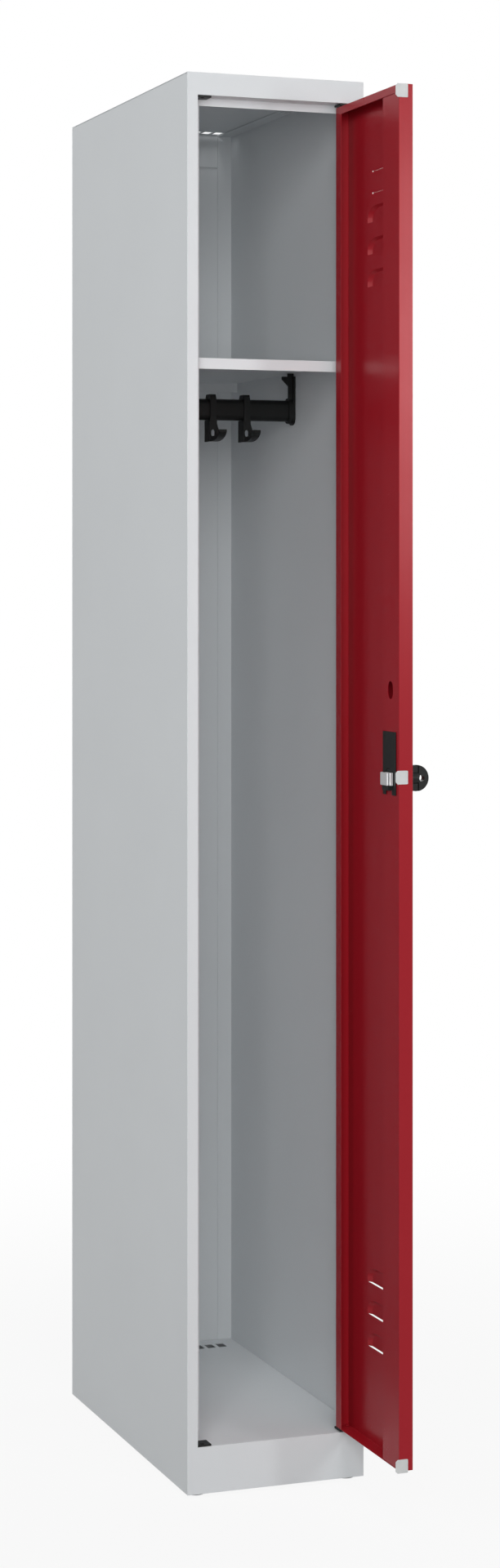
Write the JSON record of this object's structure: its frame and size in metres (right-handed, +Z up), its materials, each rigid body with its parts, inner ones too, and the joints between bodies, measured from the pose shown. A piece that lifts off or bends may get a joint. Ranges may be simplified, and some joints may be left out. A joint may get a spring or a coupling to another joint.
{
  "type": "clothing locker",
  "caption": "Tall narrow sheet-steel clothing locker with an open hinged door, padlock turn latch, hat shelf and a clothes rail with sliding coat hooks.",
  "frame": {"origin": "on the ground, at the middle of the area that the locker covers with its door open at rest", "axes": "+X to the right seen from the front, +Y from the front to the back, +Z up"},
  "size_m": [0.2556, 0.6988, 1.8],
  "materials": {
    "body_grey": "light grey powder coat, satin",
    "door_red": "red powder coat, satin",
    "black_plastic": "black moulded plastic, satin",
    "pad_grey": "light grey moulded plastic",
    "bright_steel": "bright zinc-plated steel",
    "black_steel": "black coated steel, satin"
  },
  "bodies": {
    "carcass": {"front_frame": "body_grey", "left_side_panel": "body_grey", "right_side_panel": "body_grey", "back_panel": "body_grey", "roof_panel": "body_grey", "floor_panel": "body_grey", "hat_shelf": "body_grey", "foot_front_left": "pad_grey", "foot_front_right": "pad_grey", "foot_rear_left": "pad_grey", "foot_rear_right": "pad_grey", "corner_bush_top_left": "black_plastic", "corner_bush_top_right": "black_plastic", "corner_bush_bottom_left": "black_plastic", "corner_bush_bottom_right": "black_plastic", "clothes_rail": "black_steel", "rail_bracket_left": "black_plastic", "rail_bracket_right": "black_plastic"},
    "door": {"door_pan": "door_red", "lock_side_stiffener": "door_red", "hinge_pin_top": "door_red", "hinge_pin_bottom": "door_red", "edge_pad_top": "pad_grey", "edge_pad_middle": "pad_grey", "edge_pad_bottom": "pad_grey", "lock_barrel": "black_plastic", "lock_nut": "bright_steel", "lock_plate": "black_plastic"},
    "knob": {"turn_knob": "black_plastic", "spindle_crank": "black_steel"},
    "bolt": {"latch_bolt": "bright_steel"},
    "coat_hook_1": {"hook_1": "black_plastic"},
    "coat_hook_2": {"hook_2": "black_plastic"},
    "coat_hook_3": {"hook_3": "black_plastic"}
  },
  "joints": [
    {"name": "door_hinge", "type": "hinge", "parent": "carcass", "child": "door", "pos_m": [0.09115, -0.1461, 0.9], "axis": [0, 0, 1], "range_deg": [-90, 20]},
    {"name": "knob_turn", "type": "hinge", "parent": "door", "child": "knob", "pos_m": [0.09565, -0.3185, 0.914], "axis": [1, 0, 0], "range_deg": [0, 90]},
    {"name": "bolt_slide", "type": "slide", "parent": "door", "child": "bolt", "axis": [0, -1, 0], "range_m": [0, 0.01301]},
    {"name": "hook_1_slide", "type": "slide", "parent": "carcass", "child": "coat_hook_1", "axis": [1, 0, 0], "range_m": [-0.055, 0.016]},
    {"name": "hook_2_slide", "type": "slide", "parent": "carcass", "child": "coat_hook_2", "axis": [1, 0, 0], "range_m": [-0.016, 0.016]},
    {"name": "hook_3_slide", "type": "slide", "parent": "carcass", "child": "coat_hook_3", "axis": [1, 0, 0], "range_m": [-0.016, 0.052]}
  ],
  "couplings": [
    {"joint": "bolt_slide", "follows": "knob_turn", "m_per_rad": 0.0082825}
  ]
}
